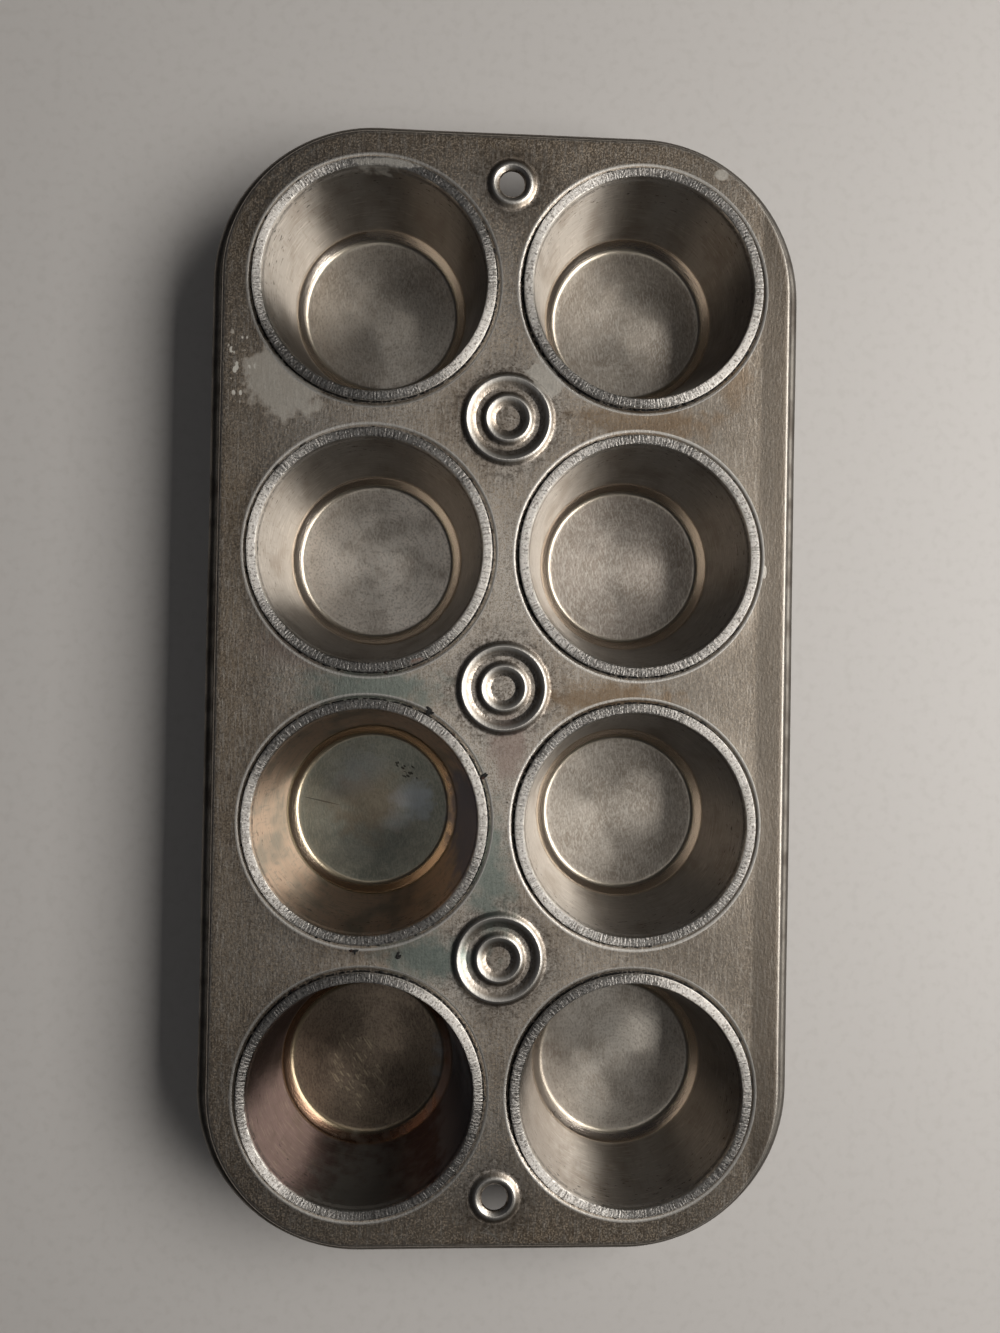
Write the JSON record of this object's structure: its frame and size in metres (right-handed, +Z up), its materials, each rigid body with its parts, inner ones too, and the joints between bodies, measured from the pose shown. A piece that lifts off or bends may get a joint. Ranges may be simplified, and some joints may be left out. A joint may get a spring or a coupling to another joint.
{
  "type": "mini muffin pan",
  "caption": "Mini muffin pan: tinned steel plate with drawn cups locked in by double seams, a wired rim, pressed rosettes and hanging eyelets at both ends.",
  "frame": {"origin": "on the ground under the middle of the pan, in the plane of the undersides of the cup floors", "axes": "+Z up, out of the cup mouths; +Y along the long side, towards row 1; +X to the right column when row 1 is at the far end"},
  "size_m": [0.1356, 0.2576, 0.025],
  "materials": {
    "plate_tin": "worn tinned steel, dull, with lengthwise scratches",
    "cup_tin": "drawn tinned steel, satin, with fine rings",
    "straw_tin": "drawn tinned steel with a straw-coloured heat tint",
    "umber_tin": "drawn tinned steel with a dark brown heat tint",
    "wire_steel": "bright drawn steel wire"
  },
  "bodies": {
    "root": {"pan_plate": "plate_tin", "rim_wire": "wire_steel", "cup_1_left": "cup_tin", "cup_1_right": "cup_tin", "cup_2_left": "cup_tin", "cup_2_right": "cup_tin", "cup_3_left": "straw_tin", "cup_3_right": "cup_tin", "cup_4_left": "umber_tin", "cup_4_right": "cup_tin"}
  },
  "joints": []
}
